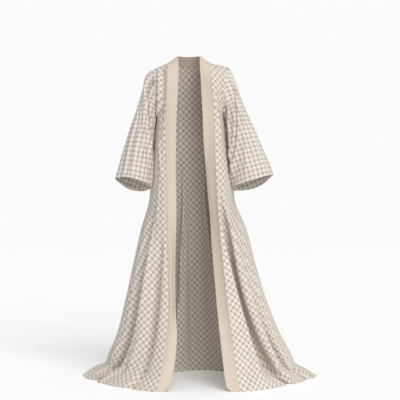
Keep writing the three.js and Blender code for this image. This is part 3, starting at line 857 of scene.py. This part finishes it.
def hemmed_layers(piece, seams, hem):
    """The layers of a piece with its turned and stitched hem, nowhere below the floor."""
    outer, inner, normals = layers_of(piece, seams)
    if hem:
        from_edge = piece.distances("last row")
        doubled = 1 - smoothstep(from_edge, hem, hem + 2)
        inner = inner - normals * (HEM_EXTRA * doubled)[..., None]
        stitched = np.clip(1 - np.abs(from_edge - (hem - HEM_STITCHES)) / DENT_REACH, 0, 1)
        outer = outer - normals * (STITCH_DENT * stitched)[..., None]
    lift = np.maximum(GROUND - np.minimum(outer[..., 2], inner[..., 2]), 0)
    for layer in (outer, inner):
        layer[..., 2] += lift
    return outer, inner, normals


def shell(piece, seams, hem):
    """Makes the mesh of a piece: its two layers and the rims that close them."""
    outer, inner, normals = hemmed_layers(piece, seams, hem)
    rows, columns = outer.shape[:2]
    wide = columns - 1 if piece.ring else columns
    index = np.arange(rows * wide).reshape(rows, wide)
    if piece.ring:
        index = np.concatenate([index, index[:, :1]], axis=1)
    count = rows * wide
    cloth = turned(piece.flat, piece.grain)

    quads, marks = [], []

    def add(corner_ids, corner_marks):
        quads.append(np.stack(corner_ids, -1).reshape(-1, 4))
        marks.append(np.stack(corner_marks, -2).reshape(-1, 4, 2))

    add(corners(index), corners(cloth))
    add(corners(index + count)[::-1], corners(cloth)[::-1])

    middles, made = [], {}
    for name in ["first row", "last row"] if piece.ring else EDGES:
        line, way = EDGES[name][0], -1 if name in ("last row", "first column") else 1
        ids, line_marks = index[line][::way], cloth[line][::way]
        bulge = RIM_BULGE * piece.wall / 2 if name.startswith("last") else 0.0
        middle = ((outer[line] + inner[line]) / 2 - piece.edge(name)[2] * bulge)[::way]
        for k, vertex in enumerate(ids):
            if vertex not in made:
                made[vertex] = 2 * count + len(middles)
                middles.append(middle[k])
        rim = np.array([made[vertex] for vertex in ids])
        rim_marks = [line_marks[1:], line_marks[:-1], line_marks[:-1], line_marks[1:]]
        add([ids[1:], ids[:-1], rim[:-1], rim[1:]], rim_marks)
        add([rim[1:], rim[:-1], ids[:-1] + count, ids[1:] + count], rim_marks)
    layers = [layer[:, :wide].reshape(-1, 3) for layer in (outer, inner)]
    points = np.concatenate([*layers, np.array(middles)])
    quads, marks = np.concatenate(quads), np.concatenate(marks)
    if piece.flip:
        quads, marks = quads[:, ::-1], marks[:, ::-1]
    piece.outer, piece.normals = outer, normals
    return mesh_object(piece.name + "_cloth", points, quads, marks)


def placed(name, data):
    """An object in the scene, at the origin."""
    made = bpy.data.objects.new(name, data)
    bpy.context.scene.collection.objects.link(made)
    return made


def mesh_object(name, points, quads, marks):
    """A mesh of four-sided faces, with where each corner lies on the flat cloth."""
    mesh = bpy.data.meshes.new(name)
    mesh.vertices.add(len(points))
    mesh.vertices.foreach_set("co", (np.asarray(points) * MM).astype(np.float32).ravel())
    mesh.loops.add(quads.size)
    mesh.loops.foreach_set("vertex_index", quads.astype(np.int32).ravel())
    mesh.polygons.add(len(quads))
    mesh.polygons.foreach_set("loop_start", np.arange(0, quads.size, 4, dtype=np.int32))
    mesh.uv_layers.new(name="cloth").data.foreach_set("uv", (marks * MM).astype(np.float32).ravel())
    mesh.update(calc_edges=True)
    mesh.validate()
    mesh.shade_smooth()
    mesh.set_sharp_from_angle(angle=math.radians(55))
    return placed(name, mesh)


# ---- finishes ----------------------------------------------------------------


def add_node(tree, kind, settings=None, values=None):
    """Adds a node: first its settings, then the values or links of its sockets. Returns its outputs."""
    made = tree.nodes.new(kind)
    for name, value in (settings or {}).items():
        setattr(made, name, value)
    for key, value in (values or {}).items():
        if isinstance(value, bpy.types.NodeSocket):
            tree.links.new(value, made.inputs[key])
        else:
            made.inputs[key].default_value = value
    return made.outputs


class Socket:
    """A value on its way through a finish: sums of it add Math nodes."""

    def __init__(self, finish, socket):
        self.finish, self.socket = finish, socket

    def maths(self, operation, *others, clamp=False):
        values = dict(enumerate([self, *others]))
        return self.finish.node("Math", {"operation": operation, "use_clamp": clamp}, values)[0]

    def __add__(self, other):
        return self.maths("ADD", other)

    __radd__ = __add__

    def __mul__(self, other):
        return self.maths("MULTIPLY", other)

    __rmul__ = __mul__

    def __sub__(self, other):
        return self.maths("SUBTRACT", other)

    def __rsub__(self, other):
        return self.finish.node("Math", {"operation": "SUBTRACT"}, {0: other, 1: self})[0]

    def wave(self):
        return self.maths("SINE")

    def clamped(self):
        return self.maths("ADD", 0.0, clamp=True)


class Finish:
    """The nodes of one material."""

    def __init__(self, name):
        self.material = bpy.data.materials.new(name)
        self.material.use_nodes = True
        self.tree = self.material.node_tree
        self.tree.nodes.clear()

    def node(self, kind, settings=None, values=None):
        """Adds a shader node, with what is worked out so far as values of its sockets."""
        given = {key: getattr(value, "socket", value) for key, value in (values or {}).items()}
        return [Socket(self, made) for made in add_node(self.tree, "ShaderNode" + kind, settings, given)]

    def mix(self, share, first, second):
        values = {0: share, 6: colour_of(first), 7: colour_of(second)}
        return self.node("Mix", {"data_type": "RGBA"}, values)[2]

    def cloth_coordinates(self):
        """Millimetres across and along the cloth of a piece."""
        marks = self.node("UVMap", {"uv_map": "cloth"})[0]
        across, along, _ = self.node("SeparateXYZ", None, {0: marks})
        return across * 1000.0, along * 1000.0

    def unevenness(self, x, y, detail=2.0):
        """Soft noise over the cloth, as coarse as its coordinates are scaled down."""
        place = self.node("CombineXYZ", None, {0: x, 1: y})[0]
        values = {"Vector": place, "Scale": 1.0, "Detail": detail, "Roughness": 0.55}
        return self.node("TexNoise", {"noise_dimensions": "3D"}, values)[0]

    def finished(self, colour, roughness, height, relief, sheen):
        bump = self.node("Bump", None, {"Strength": 1.0, "Distance": relief, "Height": height})[0]
        values = {"Base Color": colour, "Roughness": roughness, "Normal": bump}
        values |= {"Sheen Weight": sheen, "Sheen Roughness": 0.45, "Specular IOR Level": 0.25}
        surface = self.node("BsdfPrincipled", None, values)[0]
        self.node("OutputMaterial", None, {"Surface": surface})
        return self.material


def colour_of(value):
    return value if isinstance(value, Socket) else (*value, 1.0)


def dye(red, green, blue):
    """A colour given as the eye reads it, from 0 to 255, as the shader's own light values."""
    parts = [value / 255 for value in (red, green, blue)]
    return tuple(((part + 0.055) / 1.055) ** 2.4 for part in parts)


IVORY = dye(221, 214, 204)
WARM_IVORY = dye(214, 200, 184)
TAUPE = dye(168, 155, 141)
DARK_THREAD = dye(160, 146, 130)
BEIGE = dye(211, 199, 183)
DARK_BEIGE = dye(196, 180, 161)
# painted shade for the grooves between the band's ribs
PAINTED_RIB_GROOVE_SHADE = dye(170, 152, 132)
SEWING_THREAD = dye(224, 214, 198)
SEWING_SHADE = dye(176, 162, 144)
CHECK = 23.0  # from one dark line of the check to the next
THREAD = 1.3  # between the threads of the checked cloth
RIB = 2.4  # between the ribs of the band's cloth


def checked_cloth():
    """Ivory cloth with taupe lines in both directions, which make a small plain check."""
    finish = Finish("checked_cloth")
    across, along = finish.cloth_coordinates()
    slub = finish.unevenness(across * 0.016, along * 0.016)
    broad = finish.unevenness(across * 0.004, along * 0.004, 3.0)

    def line(position):
        return (((position * (2 * math.pi / CHECK)).wave() + slub * 0.5 - 0.25) * 1.5 + 0.05).clamped()

    warp, weft = line(across), line(along)
    thread_across = (across * (math.pi / THREAD)).wave()
    thread_along = (along * (math.pi / THREAD)).wave()
    over = (thread_across * thread_along * 2.2 + 0.5).clamped()
    shade = warp * over + weft * (1 - over)
    both = warp * weft
    streaks = finish.unevenness(across * 0.9, along * 0.035, 1.0)
    picks = finish.unevenness(across * 0.035, along * 0.9, 1.0)
    colour = finish.mix((shade * 0.78 + both * 0.22).clamped(), IVORY, TAUPE)
    threads = streaks * over + picks * (1 - over)
    colour = finish.mix((threads * 1.6 - 0.8).clamped() * 0.35, colour, DARK_THREAD)
    colour = finish.mix((broad * 1.4 - 0.62).clamped() * 0.25, colour, WARM_IVORY)
    roughness = 0.74 + shade * 0.1
    height = (thread_across * thread_across + thread_along * thread_along) * 0.5 + shade * 0.35
    return finish.finished(colour, roughness, height, 0.00022, 0.18)


def band_cloth():
    """Plain beige cloth with fine ribs down its length, and painted shade in the grooves between them."""
    finish = Finish("plain_band")
    across, along = finish.cloth_coordinates()
    rib = (across * (2 * math.pi / RIB)).wave()
    streaks = finish.unevenness(across * 0.5, along * 0.012, 3.0)
    fine = finish.unevenness(across * 1.4, along * 1.1)
    colour = finish.mix((streaks * 1.7 - 0.6).clamped() * 0.4, BEIGE, DARK_BEIGE)
    # painted shade: darker where the rib's bump lies lowest, in its grooves, with fine noise adding a random
    # tone
    colour = finish.mix((0.5 - rib * 0.5) * 0.16 + fine * 0.06, colour, PAINTED_RIB_GROOVE_SHADE)
    roughness = 0.66 + fine * 0.14
    return finish.finished(colour, roughness, rib * 0.5 + fine * 0.5, 0.00018, 0.12)


def thread_finish():
    """Sewing thread, twisted from two plies."""
    finish = Finish("sewing_thread")
    place = finish.node("TexCoord")[3]
    x, y, z = finish.node("SeparateXYZ", None, {0: place})
    twist = ((x + y + z) * 9000.0).wave()
    colour = finish.mix(0.5 + twist * 0.3, SEWING_THREAD, SEWING_SHADE)
    return finish.finished(colour, 0.6 + twist * 0.05, twist, 0.00008, 0.1)


# ---- sewing ------------------------------------------------------------------


def stitching_tree():
    """Geometry Nodes that sew a row of stitches along every line of a mesh."""
    tree = bpy.data.node_groups.new("row_of_stitches", "GeometryNodeTree")
    face = tree.interface
    face.new_socket("Lines", in_out="INPUT", socket_type="NodeSocketGeometry")
    for name, value in (("Pitch", 0.0042), ("Stitch Length", 0.0031), ("Thread Thickness", 0.0007)):
        face.new_socket(name, in_out="INPUT", socket_type="NodeSocketFloat").default_value = value
    face.new_socket("Thread", in_out="INPUT", socket_type="NodeSocketMaterial")
    face.new_socket("Stitches", in_out="OUTPUT", socket_type="NodeSocketGeometry")

    add = partial(add_node, tree)
    given = add("NodeGroupInput")
    line = add("GeometryNodeMeshToCurve", None, {"Mesh": given["Lines"]})["Curve"]
    values = {"Curve": line, "Length": given["Pitch"]}
    even = add("GeometryNodeResampleCurve", {"mode": "LENGTH"}, values)["Curve"]
    along = add("GeometryNodeInputTangent")["Tangent"]
    facing = add("FunctionNodeAlignRotationToVector", {"axis": "Z"}, {"Vector": along})["Rotation"]
    stitch = add("GeometryNodeMeshIcoSphere", None, {"Radius": 0.5, "Subdivisions": 1})["Mesh"]
    thick, long = given["Thread Thickness"], given["Stitch Length"]
    size = add("ShaderNodeCombineXYZ", None, {0: thick, 1: thick, 2: long})[0]
    shaped = add("GeometryNodeTransform", None, {"Geometry": stitch, "Scale": size})["Geometry"]
    smooth = add("GeometryNodeSetShadeSmooth", None, {0: shaped})[0]
    values = {"Points": even, "Instance": smooth, "Rotation": facing}
    row = add("GeometryNodeInstanceOnPoints", None, values)["Instances"]
    real = add("GeometryNodeRealizeInstances", None, {"Geometry": row})["Geometry"]
    values = {"Geometry": real, "Material": given["Thread"]}
    thread = add("GeometryNodeSetMaterial", None, values)["Geometry"]
    add("NodeGroupOutput", None, {"Stitches": thread})
    return tree


def sew(name, lines, tree, thread):
    """Rows of stitches along lines that lie on a piece's outer layer."""
    points = np.concatenate(lines) * MM
    links, first = [], 0
    for line in lines:
        links += [(first + k, first + k + 1) for k in range(len(line) - 1)]
        first += len(line)
    guide = bpy.data.meshes.new(name + "_guide")
    guide.from_pydata(points.tolist(), links, [])
    holder = placed(name + "_guide", guide)
    sewing = holder.modifiers.new("sewing", "NODES")
    sewing.node_group = tree
    for item in tree.interface.items_tree:
        if item.item_type == "SOCKET" and item.in_out == "INPUT" and item.name == "Thread":
            sewing[item.identifier] = thread
    ready = holder.evaluated_get(bpy.context.evaluated_depsgraph_get())
    mesh = bpy.data.meshes.new_from_object(ready)
    mesh.name = name
    holder.modifiers.remove(sewing)
    bpy.data.objects.remove(holder)
    bpy.data.meshes.remove(guide)
    return placed(name, mesh)


# ---- the pieces --------------------------------------------------------------


def front_piece(side, seed):
    name, facing = f"front_{side['name']}", -side["out"]
    surface = folded_panel(front_plain(side), FOLDS[name], HEM_FADE["front"], 0, facing)
    rows = rows_to_hem(BODY_LENGTH, 7)
    return Piece(name, surface, shares(0, 1, 145, 0.5), rows, 2.2, seed, flip=facing < 0, grain=BIAS)


def back_piece(seed):
    surface = folded_panel(back_plain, FOLDS["back"], HEM_FADE["back"], -1, 1)
    rows = rows_to_hem(BODY_LENGTH, 8)
    return Piece("back", surface, shares(-1, 1, 215, 0.4), rows, 2.6, seed, flip=False, grain=BIAS)


def sleeve_piece(side, seed):
    rows, flip = rows_to_hem(sleeve_knots(side)[-1], 5), side["out"] < 0
    name, surface = f"sleeve_{side['name']}", folded_sleeve(side)
    return Piece(name, surface, shares(0.5, 1.5, 108), rows, 2.0, seed, flip=flip, ring=True, spine=1)


def band_piece(side, bow, seed):
    """A band, with the soft bend across it that a doubled strip of cloth takes."""
    plain = band_plain(side)

    def surface(across, at):
        across, at = np.broadcast_arrays(across, at)
        slope = plain(np.ones_like(at), at) - plain(np.zeros_like(at), at)
        above, below = np.maximum(at - 2, -NECK_LENGTH), np.minimum(at + 2, BODY_LENGTH)
        normal = unit(np.cross(slope, plain(across, below) - plain(across, above))) * side["out"]
        rise = bow * smoothstep(at, 60, 400) * (1 - 0.7 * smoothstep(at, 1450, BODY_LENGTH))
        bend = np.sin(math.pi * across ** 0.85) * rise
        return plain(across, at) + normal * bend[..., None]

    columns = np.concatenate([[0, 0.03], np.linspace(0.08, 0.92, 13), [0.965, 1]])
    rows = np.concatenate([np.linspace(-NECK_LENGTH, 0, 20)[:-1], np.linspace(0, BODY_LENGTH, 300)])
    name, flip = f"band_{side['name']}", side["out"] < 0
    return Piece(name, surface, columns, rows, 1.0, seed, flip=flip, wall=BAND_CLOTH)


def cut_of(piece):
    """The width and length in metres of a piece laid flat, and its area in square metres."""
    flat = piece.flat * MM
    width, length = np.ptp(flat.reshape(-1, 2), axis=0)
    one, other = flat[1:, 1:] - flat[:-1, :-1], flat[1:, :-1] - flat[:-1, 1:]
    area = np.abs(one[..., 0] * other[..., 1] - one[..., 1] * other[..., 0]).sum() / 2
    return float(width), float(length), float(area)


pieces = {
    piece.name: piece
    for piece in (
        front_piece(RIGHT, 3.1),
        front_piece(LEFT, 11.7),
        back_piece(23.3),
        sleeve_piece(RIGHT, 31.9),
        sleeve_piece(LEFT, 43.4),
        band_piece(RIGHT, -6.0, 53.2),
        band_piece(LEFT, -3.5, 61.8),
    )
}

for side in ("right", "left"):
    pieces["sleeve_" + side].keep_clear_of([pieces["front_" + side], pieces["back"]])

seams = seam_tree(pieces.values())
checked, banded, thread = checked_cloth(), band_cloth(), thread_finish()
tree = stitching_tree()

for name, piece in pieces.items():
    band = name.startswith("band")
    piece.made = shell(piece, seams, 0.0 if band else HEM_DEPTH)
    piece.made.data.materials.append(banded if band else checked)
    outer = piece.outer + piece.normals * STITCH_LIFT
    if band:
        lines = [outer[4:, 1], outer[4:, -2]]
    elif name.startswith("front"):
        lines = [outer[-6, 2:-2], outer[6:-6, 2]]
    else:
        lines = [outer[-6, 2:-2]]
    piece.stitches = sew("stitching_" + name, lines, tree, thread)

# ---- floor, light and camera -------------------------------------------------


def plain_floor(height):
    finish = Finish("pale_floor")
    values = {"Base Color": (0.88, 0.88, 0.88, 1), "Roughness": 0.9, "Specular IOR Level": 0.1}
    values |= {"Emission Color": (1, 1, 1, 1), "Emission Strength": 0.15}
    surface = finish.node("BsdfPrincipled", None, values)[0]
    finish.node("OutputMaterial", None, {"Surface": surface})
    mesh = bpy.data.meshes.new("floor")
    ends = [(x * 12.0, y * 12.0, height) for x, y in ((-1, -1), (1, -1), (1, 1), (-1, 1))]
    mesh.from_pydata(ends, [], [(0, 1, 2, 3)])
    mesh.materials.append(finish.material)
    return placed("floor", mesh)


def studio_backdrop():
    """A pale backdrop, which the camera sees brighter than the even light that comes from it."""
    world = bpy.data.worlds.new("studio")
    world.use_nodes = True
    world.node_tree.nodes.clear()
    add = partial(add_node, world.node_tree)
    pale = add("ShaderNodeBackground", None, {"Color": (0.955, 0.955, 0.957, 1)})[0]
    ambient = add("ShaderNodeBackground", None, {"Color": (0.4, 0.4, 0.4, 1)})[0]
    seen = add("ShaderNodeLightPath")["Is Camera Ray"]
    chosen = add("ShaderNodeMixShader", None, {0: seen, 1: ambient, 2: pale})[0]
    add("ShaderNodeOutputWorld", None, {"Surface": chosen})
    bpy.context.scene.world = world


def studio_light(name, place, power, angle):
    """A light from a place towards the shoulders, whose angle in degrees says how soft its shadows are."""
    light = bpy.data.lights.new(name, "SUN")
    light.energy, light.angle = power, math.radians(angle)
    lamp = placed(name, light)
    lamp.location = place
    lamp.rotation_mode = "QUATERNION"
    lamp.rotation_quaternion = (-Vector(place)).to_track_quat("-Z", "Y")


floor = plain_floor((GROUND - 0.5) * MM)
studio_backdrop()
studio_light("key", (1.5, -3.8, 2.8), 2.1, 42)
studio_light("overhead", (0.2, 0, 4), 0.5, 60)

lens = bpy.data.cameras.new("camera")
lens.lens, lens.sensor_width = 90, 36
camera = placed("camera", lens)
camera.location = (0.055, -5.0, -0.715)
camera.rotation_euler = (math.radians(90), 0, 0)
bpy.context.scene.camera = camera
bpy.context.scene.view_settings.view_transform = "Standard"

# ---- each piece hung from the root in place of its imported part, and its flat cut worked out ---

for name, piece in pieces.items():
    for part in (piece.made, piece.stitches):
        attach(part, "root")
    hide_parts(name)
    width, length, area = cut_of(piece)
